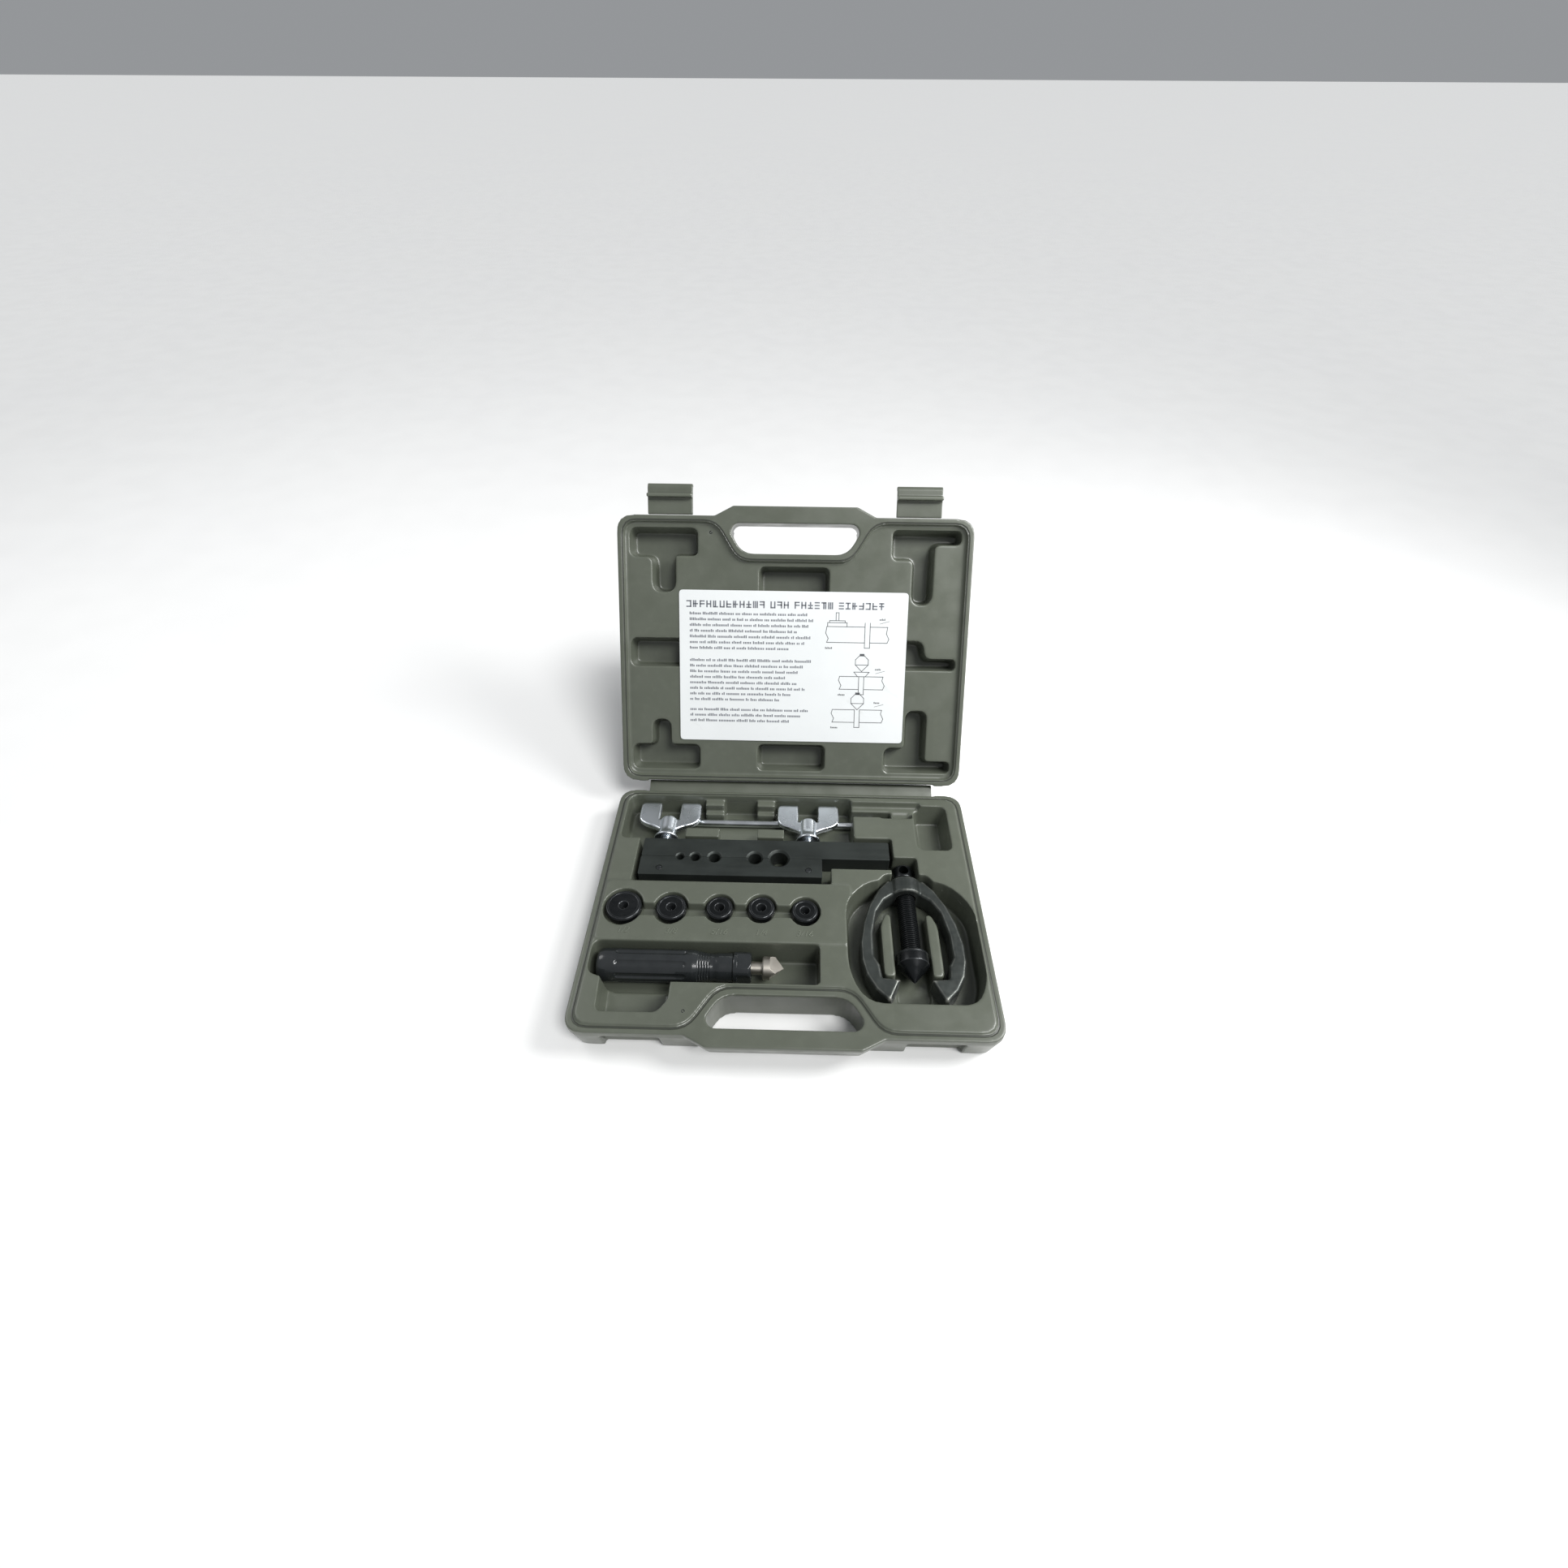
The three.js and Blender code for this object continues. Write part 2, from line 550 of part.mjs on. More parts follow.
function reamerHandle() {
  const { butt, r, handleEnd } = REAMER;
  const dome = [0, 0.25, 0.5, 0.75, 1].map((t) => {
    const angle = t * Math.PI / 2;
    return [(r - 3) + 3 * Math.sin(angle), butt + 5 * (1 - Math.cos(angle))];
  });
  const body = turnedX([[0, butt], ...dome, [r, -60], [9, -51], [8.6, -46], [9.2, -44],
    [9.2, handleEnd], [5, handleEnd], [5, handleEnd + 6], [0, handleEnd + 6]], 32);
  const flutes = Array.from({ length: 8 }, (_, i) => {
    const angle = (i + 0.5) * Math.PI / 4;
    const reach = r + 1.6;
    return turnedX([[0, butt + 10], [1.5, butt + 10.6], [2.6, butt + 13], [2.6, -66], [1.5, -62],
      [0, -60]], 12).translate([0, reach * Math.cos(angle), reach * Math.sin(angle)]);
  });
  return cut(body, ...flutes);
}

function reamerFerrule() {
  const start = REAMER.ferrule;
  const end = start + 12;
  const collar = turnedX([[5 + GAP, start], [9.6, start], [10.2, start + 1], [10.2, end - 1.5],
    [9, end], [5 + GAP, end], [5 + GAP, start]], 32);
  const flats = [-1, 1].flatMap((side) => [
    box(start + 3, end + 1, side > 0 ? 8.8 : -12, side > 0 ? 12 : -8.8, -12, 12),
    box(start + 3, end + 1, -12, 12, side > 0 ? 8.8 : -12, side > 0 ? 12 : -8.8),
  ]);
  return cut(collar, ...flats);
}

function reamerBlade() {
  const { handleEnd, tip } = REAMER;
  const from = handleEnd + 6 + GAP;
  const shank = turnedX([[0, from], [4.2, from], [4.2, -15.4], [7, -15.4], [7.6, -14.6], [7.6, tip],
    [0, tip]], 32);
  const pyramid = new THREE.ConeGeometry(24, 18, 3).rotateZ(-Math.PI / 2)
    .rotateX(Math.PI * 0.3).translate(tip - 9, 0, 0);
  const point = solid(pyramid);
  const behind = box(from - 1, -10.5, -12, 12, -12, 12);
  return shank.intersect(join(behind, cut(point, behind)));
}

function buildReamer() {
  const kit = new THREE.Group();
  kit.position.set(0, REAMER.y, REAMER.z);
  kit.add(
    piece('reamer_handle', reamerHandle(), blackPlastic),
    piece('reamer_ferrule', reamerFerrule(), blackPlastic),
    piece('reamer_blade', reamerBlade(), steel),
  );
  return kit;
}

// ---- the whole kit ------------------------------------------------------------------------

const flaringKit = new THREE.Group();
const handle = piece('t_handle', tHandle(), zinc);
handle.position.set(0, ROD.y, ROD.z);
flaringKit.add(buildCase(), buildBars(), handle, buildYoke(), ...buildAdapters(), buildReamer());

export default flaringKit;
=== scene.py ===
"""A double flaring tool kit lying in its open blow-moulded case, on a pale studio floor.

Everything is in metres in the CAD's frame: origin under the middle of the case base, +Y towards
the lid hinge, +Z up. MM turns the millimetres written here into metres.
"""
import json
import math
import random

import bmesh
import bpy
import numpy as np
from mathutils import Matrix, Vector


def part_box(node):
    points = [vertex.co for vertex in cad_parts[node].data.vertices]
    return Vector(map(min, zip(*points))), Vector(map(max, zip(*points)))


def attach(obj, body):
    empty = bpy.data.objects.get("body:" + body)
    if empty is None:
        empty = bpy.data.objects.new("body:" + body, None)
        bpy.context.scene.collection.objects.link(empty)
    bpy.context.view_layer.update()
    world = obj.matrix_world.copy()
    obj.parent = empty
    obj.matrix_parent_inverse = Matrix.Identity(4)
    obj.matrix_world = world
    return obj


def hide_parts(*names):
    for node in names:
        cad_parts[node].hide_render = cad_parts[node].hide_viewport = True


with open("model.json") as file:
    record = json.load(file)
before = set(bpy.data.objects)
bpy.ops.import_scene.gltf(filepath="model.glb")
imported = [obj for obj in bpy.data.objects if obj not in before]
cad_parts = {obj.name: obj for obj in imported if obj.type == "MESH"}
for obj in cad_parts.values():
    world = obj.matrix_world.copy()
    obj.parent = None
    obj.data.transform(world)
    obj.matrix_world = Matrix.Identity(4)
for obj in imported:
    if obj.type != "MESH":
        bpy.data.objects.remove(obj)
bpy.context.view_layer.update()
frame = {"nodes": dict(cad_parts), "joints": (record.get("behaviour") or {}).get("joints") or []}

MM = 0.001
INCH = 25.4 * MM

# ---- places taken from the frame -------------------------------------------------------------

JOINTS = {joint["name"]: joint for joint in frame["joints"]}
BASE_FOLD = Vector(JOINTS["strip_fold"]["pos_m"])
LID_FOLD = Vector(JOINTS["lid_fold"]["pos_m"])
FOLD_ANGLE = math.radians(-JOINTS["lid_fold"]["range_deg"][0])
LID_TILT = math.pi - 2 * FOLD_ANGLE
RIM = 25 * MM
HINGE_ARM = RIM - BASE_FOLD.z
HINGE_Y = BASE_FOLD.y
PANEL_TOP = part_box("case_base")[1].z

# The lid's own frame: x, then the distance from its hinge side, then the height above its rim.
LID = (Matrix.Translation(LID_FOLD) @ Matrix.Rotation(LID_TILT, 4, "X")
       @ Matrix.Translation((0, 0, HINGE_ARM)))
# The strip's own frame: x, then its thickness, then the distance from the base's fold line.
STRIP = Matrix.Translation(BASE_FOLD) @ Matrix.Rotation(-FOLD_ANGLE, 4, "X")

# Where the rim steps to the tray: x, distance from the hinge side, corner radius, in millimetres.
SIDE, BACK, FRONT, GRIP_EDGE = 130, 5, 199.5, 171.5
INNER_PLAN = [(-SIDE, BACK, 10), (SIDE, BACK, 10), (SIDE, FRONT, 10), (60, FRONT, 9),
              (43, GRIP_EDGE, 10), (-43, GRIP_EDGE, 10), (-60, FRONT, 9), (-SIDE, FRONT, 10)]
SEAM_OFFSET = 1.0 * MM

SCREW_PITCH = INCH / 16
SCREW_RADIUS, SCREW_ROOT = 6.6 * MM, 5.75 * MM
STUD_PITCH = 1.25 * MM
STUD_ROOT = 3.4 * MM

# In millimetres.
ADAPTER_STEMS = {"1_2": 5.1, "3_8": 3.6, "5_16": 2.9, "1_4": 2.1, "3_16": 1.6}
ADAPTER_DISC = 6.5
ROD_RADIUS, SWAGE_RADIUS, SWAGE_LENGTH = 2.9, 3.3, 12
SCREW_HEAD_LENGTH, SCREW_HOLE_RADIUS, SCREW_HOLE_FROM_HEAD = 11, 3.5, 5.6
CONE_LENGTH = 12.2
SPIGOT_RADIUS, GROOVE_RADIUS, GROOVE = 4, 3.2, (-41.8, -40.2)
VENTS = (("vent_base", "base", (-62.5, -87.5, 26.4)), ("vent_lid", "lid", (-64, 192.3, -3.05)))
FIGURES_Y, FIGURE_SINK = -33, 0.3

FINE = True
CASE_VOXEL = (0.8 if FINE else 1.4) * MM
CAST_VOXEL = (0.45 if FINE else 0.8) * MM


# ---- small helpers ---------------------------------------------------------------------------

def centre(node):
    low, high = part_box(node)
    return (low + high) / 2


def link(name, mesh):
    obj = bpy.data.objects.new(name, mesh)
    bpy.context.scene.collection.objects.link(obj)
    return obj


def evaluated(obj):
    """Bakes an object's modifiers into its mesh."""
    graph = bpy.context.evaluated_depsgraph_get()
    mesh = bpy.data.meshes.new_from_object(obj.evaluated_get(graph))
    obj.modifiers.clear()
    obj.data = mesh
    return obj


def modifier(obj, kind, **settings):
    made = obj.modifiers.new(kind.lower(), kind)
    for key, value in settings.items():
        setattr(made, key, value)
    return made


def smooth(obj, angle=35):
    obj.data.shade_smooth()
    obj.data.set_sharp_from_angle(angle=math.radians(angle))
    return obj


def cad_copy(node, name):
    """A new object with a welded copy of a CAD node's mesh, its coplanar triangles merged."""
    mesh = frame["nodes"][node].data.copy()
    mesh.materials.clear()
    work = bmesh.new()
    work.from_mesh(mesh)
    bmesh.ops.remove_doubles(work, verts=work.verts, dist=0.002 * MM)
    bmesh.ops.dissolve_limit(work, angle_limit=math.radians(0.5), verts=work.verts, edges=work.edges)
    work.to_mesh(mesh)
    work.free()
    return link(name, mesh)


def place(obj, body, slot, *materials, stands_for=()):
    """Gives a finished piece its materials and body, and hides the CAD nodes it stands for; the slot
    argument is not used.
    """
    for material in materials:
        obj.data.materials.append(material)
    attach(obj, body)
    if stands_for:
        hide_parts(*stands_for)
    return obj


def grid_mesh(name, rows, slots=None):
    """A tube of rows of points, closed round each row and capped at both ends."""
    across = len(rows[0])
    verts = [point for row in rows for point in row]
    faces, kinds = [], []
    for i in range(len(rows) - 1):
        for j in range(across):
            k = (j + 1) % across
            faces.append((i * across + j, i * across + k, (i + 1) * across + k, (i + 1) * across + j))
            kinds.append(slots[i] if slots else 0)
    faces.append(tuple(reversed(range(across))))
    faces.append(tuple(range(len(verts) - across, len(verts))))
    kinds += [0, 0]
    mesh = bpy.data.meshes.new(name)
    mesh.from_pydata(verts, [], faces)
    mesh.polygons.foreach_set("material_index", kinds)
    work = bmesh.new()
    work.from_mesh(mesh)
    bmesh.ops.remove_doubles(work, verts=work.verts, dist=0.001 * MM)
    bmesh.ops.recalc_face_normals(work, faces=work.faces)
    work.to_mesh(mesh)
    work.free()
    return link(name, mesh)


def rounded(profile, radius, steps=3):
    """A profile with each inner corner turned into an arc; returns its points and which runs are arcs."""
    points, arcs = [Vector(profile[0])], []
    for before, corner, after in zip(profile, profile[1:], profile[2:]):
        before, corner, after = Vector(before), Vector(corner), Vector(after)
        reach = min(radius, 0.45 * (corner - before).length, 0.45 * (after - corner).length)
        start = corner + (before - corner).normalized() * reach
        end = corner + (after - corner).normalized() * reach
        points.append(start)
        arcs.append(0)
        for step in range(1, steps + 1):
            t = step / steps
            points.append(start * (1 - t) ** 2 + corner * 2 * t * (1 - t) + end * t ** 2)
            arcs.append(1)
    points.append(Vector(profile[-1]))
    arcs.append(0)
    return points, arcs


AXES = {
    "X": lambda r, h, a: (h, r * math.cos(a), r * math.sin(a)),
    "Y": lambda r, h, a: (r * math.cos(a), h, r * math.sin(a)),
    "Z": lambda r, h, a: (r * math.cos(a), r * math.sin(a), h),
}


def turned(name, profile, axis, at, round_off=0.3, sides=72):
    """A turned piece from points (radius, height) in millimetres; its rounded corners take slot 1."""
    points, arcs = rounded(profile, round_off)
    turn = AXES[axis]
    rows = [[turn(p.x, p.y, 2 * math.pi * j / sides) for j in range(sides)] for p in points]
    obj = grid_mesh(name, rows, slots=arcs)
    obj.data.transform(Matrix.Translation(at) @ Matrix.Scale(MM, 4))
    return smooth(obj)


def threaded(name, radius, root, pitch, start, end, at, sides=36):
    """A screw thread along +Y, right-handed, its crests flattened; crests take slot 1."""
    shape = [(0, root), (0.14, root), (0.44, radius), (0.6, radius)]
    turns = math.ceil((end - start) / pitch) + 1
    rows, slots = [], []
    for turn_no in range(-1, turns):
        for i, (offset, r) in enumerate(shape):
            row = []
            for j in range(sides):
                angle = 2 * math.pi * j / sides
                y = start + pitch * (turn_no + offset - j / sides)
                row.append(AXES["Y"](r, min(max(y, start), end), angle))
            rows.append(row)
            slots.append(1 if i == 2 else 0)
    # The last column of each turn meets the first column of the turn before it.
    verts = [Vector(p) for row in rows for p in row]
    per_turn = len(shape)
    faces, kinds = [], []
    for i in range(len(rows) - 1):
        for j in range(sides):
            here, above = i * sides + j, (i + 1) * sides + j
            if j < sides - 1:
                faces.append((here, here + 1, above + 1, above))
                kinds.append(slots[i])
            elif i >= per_turn:
                back = i - per_turn
                faces.append((here, back * sides, (back + 1) * sides, above))
                kinds.append(slots[i])
    mesh = bpy.data.meshes.new(name)
    mesh.from_pydata([v + Vector(at) for v in verts], [], faces)
    mesh.polygons.foreach_set("material_index", kinds)
    work = bmesh.new()
    work.from_mesh(mesh)
    bmesh.ops.remove_doubles(work, verts=work.verts, dist=0.001 * MM)
    bmesh.ops.dissolve_degenerate(work, edges=work.edges, dist=0.001 * MM)
    bmesh.ops.holes_fill(work, edges=work.edges, sides=0)
    bmesh.ops.recalc_face_normals(work, faces=work.faces)
    work.to_mesh(mesh)
    work.free()
    return smooth(link(name, mesh), 50)


def outline(corners, steps=4):
    """A closed list of plan points with quadratic corners, in metres."""
    points = []
    for i, (x, y, radius) in enumerate(corners):
        corner = Vector((x, y))
        before = Vector(corners[i - 1][:2]) - corner
        after = Vector(corners[(i + 1) % len(corners)][:2]) - corner
        start = corner + before.normalized() * radius
        end = corner + after.normalized() * radius
        for step in range(steps + 1):
            t = step / steps
            points.append((start * (1 - t) ** 2 + corner * 2 * t * (1 - t) + end * t ** 2) * MM)
    return np.array(points)


def signed_distance(points, loop):
    """Distance of plan points from a closed loop, negative inside it."""
    nearest = np.full(len(points), 1e9)
    inside = np.zeros(len(points), bool)
    for a, b in zip(loop, np.roll(loop, -1, axis=0)):
        edge = b - a
        length = edge @ edge
        if length < 1e-12:
            continue
        t = np.clip((points - a) @ edge / length, 0, 1)
        nearest = np.minimum(nearest, np.linalg.norm(points - a - t[:, None] * edge, axis=1))
        crosses = (a[1] > points[:, 1]) != (b[1] > points[:, 1])
        if abs(edge[1]) > 1e-12:
            at = a[0] + (points[:, 1] - a[1]) * edge[0] / edge[1]
            inside ^= crosses & (points[:, 0] < at)
    return np.where(inside, -nearest, nearest)


def store(mesh, name, values):
    layer = mesh.attributes.new(name, "FLOAT", "POINT")
    layer.data.foreach_set("value", values.astype(np.float32))


def positions(mesh):
    co = np.empty(len(mesh.vertices) * 3, np.float32)
    mesh.vertices.foreach_get("co", co)
    return co.reshape(-1, 3).astype(float)


def mark_relief(obj, spacing, passes=2):
    """Stores the surface's rough curvature per millimetre, over 0 where convex, for painted edge
    highlights and painted shade in hollows on the case, and for edge wear on forged steel.
    """
    mesh = obj.data
    co = positions(mesh)
    normals = np.empty(len(co) * 3, np.float32)
    mesh.vertex_normals.foreach_get("vector", normals)
    normals = normals.reshape(-1, 3)
    edges = np.empty(len(mesh.edges) * 2, np.int32)
    mesh.edges.foreach_get("vertices", edges)
    a, b = edges.reshape(-1, 2).T

    def around(values):
        total = np.zeros_like(values)
        count = np.zeros(len(values))
        for here, there in ((a, b), (b, a)):
            np.add.at(total, here, values[there])
            np.add.at(count, here, 1)
        return total / np.maximum(count, 1).reshape((-1,) + (1,) * (values.ndim - 1))

    relief = np.einsum("ij,ij->i", co - around(co), normals) * 4 * MM / spacing ** 2
    for _ in range(passes):
        relief = around(relief)
    store(mesh, "relief", np.clip(relief, -1, 1))


def soften(obj, voxel, passes, share=1.0):
    """Turns a sharp-edged solid into a soft-edged moulding or forging."""
    modifier(obj, "REMESH", mode="VOXEL", voxel_size=voxel, use_smooth_shade=True)
    modifier(obj, "SMOOTH", factor=0.5, iterations=passes)
    evaluated(obj)
    mark_relief(obj, voxel)
    if share < 1:
        modifier(obj, "DECIMATE", ratio=share)
        evaluated(obj)
    obj.data.shade_smooth()
    return obj


def bevelled(obj, width, segments=2):
    """Breaks a machined piece's sharp edges; the broken edges take slot 1."""
    modifier(obj, "BEVEL", width=width, segments=segments, limit_method="ANGLE",
             angle_limit=math.radians(32), material=1, use_clamp_overlap=True)
    obj.data.materials.clear()
    evaluated(obj).data.shade_smooth()
    modifier(obj, "WEIGHTED_NORMAL", weight=90)
    return evaluated(obj)


# ---- materials -------------------------------------------------------------------------------

class Look:
    """A principled material whose colour, roughness and bump are wired from nodes."""

    def __init__(self, name, color, roughness, metallic=0.0, **constants):
        self.material = bpy.data.materials.new(name)
        self.material.use_nodes = True
        self.tree = self.material.node_tree
        self.shader = self.tree.nodes["Principled BSDF"]
        self.shader.inputs["Metallic"].default_value = metallic
        self.shader.inputs["Roughness"].default_value = roughness
        for key, value in constants.items():
            self.shader.inputs[key.replace("_", " ")].default_value = value
        self.color = self.solid(color)
        self.height = None
        self.where = self.add("ShaderNodeTexCoord").outputs["Object"]

    def add(self, kind, **settings):
        made = self.tree.nodes.new(kind)
        for key, value in settings.items():
            setattr(made, key, value)
        return made

    def wire(self, value, socket):
        if isinstance(value, bpy.types.NodeSocket):
            self.tree.links.new(value, socket)
        else:
            socket.default_value = value

    def solid(self, color):
        return (*color, 1.0)

    def noise(self, scale, detail=3.0, stretch=(1, 1, 1), distortion=0.0):
        mapping = self.add("ShaderNodeMapping")
        mapping.inputs["Scale"].default_value = stretch
        self.wire(self.where, mapping.inputs["Vector"])
        texture = self.add("ShaderNodeTexNoise")
        texture.inputs["Scale"].default_value = scale
        texture.inputs["Detail"].default_value = detail
        texture.inputs["Distortion"].default_value = distortion
        self.wire(mapping.outputs["Vector"], texture.inputs["Vector"])
        return texture.outputs["Fac"]

    def attribute(self, name):
        return self.add("ShaderNodeAttribute", attribute_name=name).outputs["Fac"]

    def ramp(self, value, low, high, start=0.0, end=1.0):
        """Maps value from low..high to start..end, held at both ends."""
        made = self.add("ShaderNodeMapRange", interpolation_type="SMOOTHSTEP")
        for key, given in (("From Min", low), ("From Max", high), ("To Min", start), ("To Max", end)):
            made.inputs[key].default_value = given
        self.wire(value, made.inputs["Value"])
        return made.outputs["Result"]

    def math(self, operation, a, b=0.0):
        made = self.add("ShaderNodeMath", operation=operation)
        self.wire(a, made.inputs[0])
        self.wire(b, made.inputs[1])
        return made.outputs[0]

    def tint(self, amount, color):
        """Mixes a colour over the present one by amount."""
        mix = self.add("ShaderNodeMix", data_type="RGBA")
        self.wire(amount, mix.inputs["Factor"])
        self.wire(self.color, mix.inputs["A"])
        self.wire(self.solid(color), mix.inputs["B"])
        self.color = mix.outputs["Result"]
        return self

    def rough(self, value, low, high):
        self.wire(self.ramp(value, 0.3, 0.7, low, high), self.shader.inputs["Roughness"])
        return self

    def bump(self, value, depth, strength=1.0):
        made = self.add("ShaderNodeBump")
        made.inputs["Distance"].default_value = depth
        made.inputs["Strength"].default_value = strength
        self.wire(value, made.inputs["Height"])
        if self.height is not None:
            self.wire(self.height, made.inputs["Normal"])
        self.height = made.outputs["Normal"]
        return self

    def done(self):
        self.wire(self.color, self.shader.inputs["Base Color"])
        if self.height is not None:
            self.wire(self.height, self.shader.inputs["Normal"])
        return self.material


def case_plastic(name, color):
    """Satin blow-moulded polyethylene: mottled colour, fine leathery grain, painted highlights on convex
    edges, painted shade in hollows and along the seam groove.
    """
    look = Look(name, color, 0.34, Specular_IOR_Level=0.55, Coat_Weight=0.18, Coat_Roughness=0.22)
    dark = tuple(0.84 * c for c in color)
    pale = tuple(min(1, 1.35 * c) for c in color)
    broad = look.noise(9, 4, distortion=0.6)
    grain = look.noise(900, 2)
    look.tint(look.ramp(broad, 0.35, 0.7, 0, 0.45), dark)
    look.tint(look.ramp(look.noise(160, 3), 0.45, 0.75, 0, 0.18), pale)
    relief = look.attribute("relief")
    # Painted highlight on convex edges and painted shade in hollows and inner corners, both driven by the
    # stored curvature.
    look.tint(look.ramp(relief, 0.2, 1.0, 0, 0.6), pale)
    look.tint(look.ramp(relief, -0.1, -0.8, 0, 0.6), tuple(0.4 * c for c in color))
    # Painted shade: the seam groove is darkened to stand in for its shadow, beside the real bump further
    # down.
    seam = look.ramp(look.math("ABSOLUTE", look.attribute("seam")), 0.9, 0.25)
    look.tint(look.math("MULTIPLY", seam, 0.75), tuple(0.22 * c for c in color))
    look.rough(look.noise(55, 3), 0.28, 0.42)
    look.bump(grain, 0.02 * MM, 0.35)
    look.bump(look.noise(60, 2), 0.12 * MM, 0.3)
    look.bump(look.math("MULTIPLY", seam, -1.0), 0.5 * MM, 0.9)
    return look.done()


def dark_metal(name, color, roughness, grain=(1, 1, 1), worn=0.0):
    """Black-oxide or forged steel; grain stretches the surface marks along one direction."""
    look = Look(name, color, roughness, metallic=0.55)
    look.tint(look.ramp(look.noise(40, 4), 0.35, 0.7, 0, 0.6), tuple(0.55 * c for c in color))
    if worn:
        edge = look.math("MULTIPLY", look.ramp(look.attribute("relief"), 0.2, 0.7),
                         look.ramp(look.noise(150, 3), 0.3, 0.55))
        look.tint(look.math("MULTIPLY", edge, worn), (0.3, 0.305, 0.275))
    marks = look.noise(260, 3, stretch=grain)
    look.rough(marks, roughness - 0.05, roughness + 0.08)
    look.bump(marks, 0.008 * MM, 0.25)
    return look.done()


def bright_metal(name, color, roughness, grain=(1, 1, 1), pits=0.0):
    """Bare or plated steel with faint cloudiness and directional marks."""
    look = Look(name, color, roughness, metallic=1.0)
    look.tint(look.ramp(look.noise(40, 3), 0.4, 0.72, 0, 0.3), tuple(0.78 * c for c in color))
    marks = look.noise(420, 3, stretch=grain)
    look.rough(look.noise(60, 2), roughness - 0.04, roughness + 0.06)
    look.bump(marks, 0.003 * MM, 0.2)
    if pits:
        look.bump(look.noise(90, 1), pits, 0.3)
    return look.done()


def handle_plastic(name):
    look = Look(name, (0.012, 0.014, 0.015), 0.2, Specular_IOR_Level=0.55, Coat_Weight=0.25)
    look.tint(look.ramp(look.noise(50, 4), 0.4, 0.7, 0, 0.5), (0.024, 0.027, 0.028))
    look.rough(look.noise(90, 4), 0.14, 0.26)
    look.bump(look.noise(60, 2), 0.03 * MM, 0.2)
    return look.done()


def label_film(name):
    look = Look(name, (0.66, 0.68, 0.68), 0.45)
    look.tint(look.ramp(look.noise(14, 4), 0.35, 0.7, 0, 0.5), (0.62, 0.64, 0.64))
    look.tint(look.ramp(look.noise(60, 5, distortion=1.5), 0.66, 0.74, 0, 0.2), (0.5, 0.5, 0.48))
    look.rough(look.noise(80, 3), 0.34, 0.46)
    look.bump(look.noise(35, 2), 0.1 * MM, 0.25)
    return look.done()


def ink(name, color):
    look = Look(name, color, 0.5)
    look.tint(look.ramp(look.noise(500, 2), 0.45, 0.65, 0, 0.35), tuple(min(1, 2.2 * c) for c in color))
    return look.done()


def floor_paint(name):
    look = Look(name, (0.86, 0.86, 0.85), 0.7)
    look.tint(look.ramp(look.noise(3, 3), 0.4, 0.7, 0, 0.3), (0.84, 0.84, 0.84))
    look.rough(look.noise(20, 3), 0.62, 0.78)
    return look.done()


OLIVE = (0.082, 0.091, 0.07)
PLASTIC = case_plastic("case_plastic", OLIVE)
BLACK = dark_metal("black_oxide", (0.035, 0.041, 0.038), 0.4, grain=(0.12, 1, 1))
BLACK_EDGE = dark_metal("black_oxide_edge", (0.1, 0.107, 0.1), 0.32)
TURNED_BLACK = dark_metal("turned_black", (0.009, 0.0105, 0.0115), 0.27)
TURNED_EDGE = dark_metal("turned_black_edge", (0.034, 0.037, 0.039), 0.24)
FORGED = dark_metal("forged_black", (0.05, 0.057, 0.053), 0.36, worn=0.7)
ZINC = bright_metal("zinc_plate", (0.74, 0.78, 0.82), 0.26, pits=0.02 * MM)
ROD_ZINC = bright_metal("zinc_rod", (0.76, 0.79, 0.81), 0.22, grain=(0.08, 1, 1))
STEEL = bright_metal("bare_steel", (0.5, 0.47, 0.42), 0.42, grain=(1, 0.1, 0.1))
STEEL_EDGE = bright_metal("bare_steel_edge", (0.8, 0.78, 0.74), 0.3)
HANDLE = handle_plastic("handle_plastic")
LABEL = label_film("label_film")
INK = ink("ink", (0.06, 0.065, 0.07))
INK_PALE = ink("ink_pale", (0.12, 0.128, 0.145))


# ---- case ------------------------------------------------------------------------------------

def mark_seam(mesh, across, height):
    """Stores the distance, in millimetres, from the seam line that runs round the rim."""
    plan = np.column_stack([positions(mesh)[:, 0], across])
    distance = signed_distance(plan, outline(INNER_PLAN)) - SEAM_OFFSET
    store(mesh, "seam", np.where(height > -5 * MM, distance / MM, 9))


def case_half(node, body, to_row, seam_frame):
    half = cad_copy(node, f"{node}_moulding")
    half.data.transform(to_row.inverted())
    soften(half, CASE_VOXEL, 5, share=0.45 if FINE else 1)
    mark_seam(half.data, *seam_frame(positions(half.data)))
    half.data.transform(to_row)
    return place(half, body, "case_plastic", PLASTIC, stands_for=[node])


def build_case():
    case_half("case_base", "base", Matrix.Identity(4), lambda co: (HINGE_Y - co[:, 1], co[:, 2] - RIM))
    case_half("case_lid", "lid", LID, lambda co: (co[:, 1], co[:, 2]))
    for node, body in (("latch_left", "latch_a"), ("latch_right", "latch_b")):
        latch = cad_copy(node, f"{node}_moulding")
        latch.data.transform(LID.inverted())
        soften(latch, CAST_VOXEL, 4, share=0.5 if FINE else 1)
        latch.data.transform(LID)
        store(latch.data, "seam", np.full(len(latch.data.vertices), 9.0))
        place(latch, body, "case_plastic", PLASTIC, stands_for=[node])


